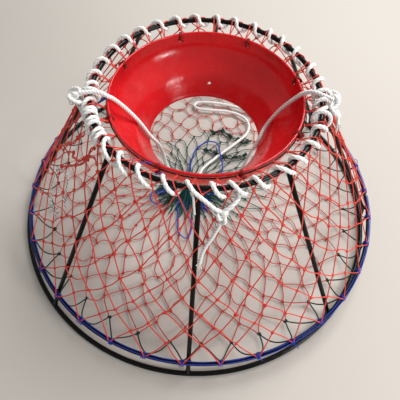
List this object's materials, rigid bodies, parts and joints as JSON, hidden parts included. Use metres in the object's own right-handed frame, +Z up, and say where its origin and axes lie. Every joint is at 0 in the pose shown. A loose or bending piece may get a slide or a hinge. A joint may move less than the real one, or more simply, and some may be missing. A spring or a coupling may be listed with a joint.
{
  "type": "crab trap",
  "caption": "Stackable conical crab trap: steel rod frame, funnel entrance in the top, knotted side and bottom net, rope-wrapped top ring and a lifting rope.",
  "frame": {"origin": "on the ground, at the centre of the ground ring, which is the widest piece and centres the trap's box", "axes": "+Z up, the front leg is towards -Y"},
  "size_m": [1.326, 1.326, 0.6207],
  "materials": {
    "frame_steel": "gloss black coating",
    "entrance_cone": "moulded, glossy",
    "net_twine": "braided twine",
    "gather_twine": "braided twine",
    "lacing_twine": "braided twine",
    "white_rope": "laid rope"
  },
  "bodies": {
    "root": {"ground_ring": "frame_steel", "net_ring": "frame_steel", "top_ring": "frame_steel", "leg_front": "frame_steel", "leg_front_right": "frame_steel", "leg_right": "frame_steel", "leg_back_right": "frame_steel", "leg_back": "frame_steel", "leg_back_left": "frame_steel", "leg_left": "frame_steel", "leg_front_left": "frame_steel", "entrance_cone": "entrance_cone", "rim_lashing_1": "net_twine", "rim_lashing_2": "net_twine", "rim_lashing_3": "net_twine", "rim_lashing_4": "net_twine", "rim_lashing_5": "net_twine", "rim_lashing_6": "net_twine", "rim_lashing_7": "net_twine", "rim_lashing_8": "net_twine", "side_net": "net_twine", "collar_net": "net_twine", "bottom_net": "net_twine", "purse_gather": "gather_twine", "ring_wrap": "white_rope", "wrap_knot": "white_rope", "wrap_tail": "white_rope", "net_lacing": "lacing_twine", "bridle_rope": "white_rope", "bridle_knot_left": "white_rope", "bridle_knot_right": "white_rope", "purse_line": "lacing_twine"}
  },
  "joints": []
}
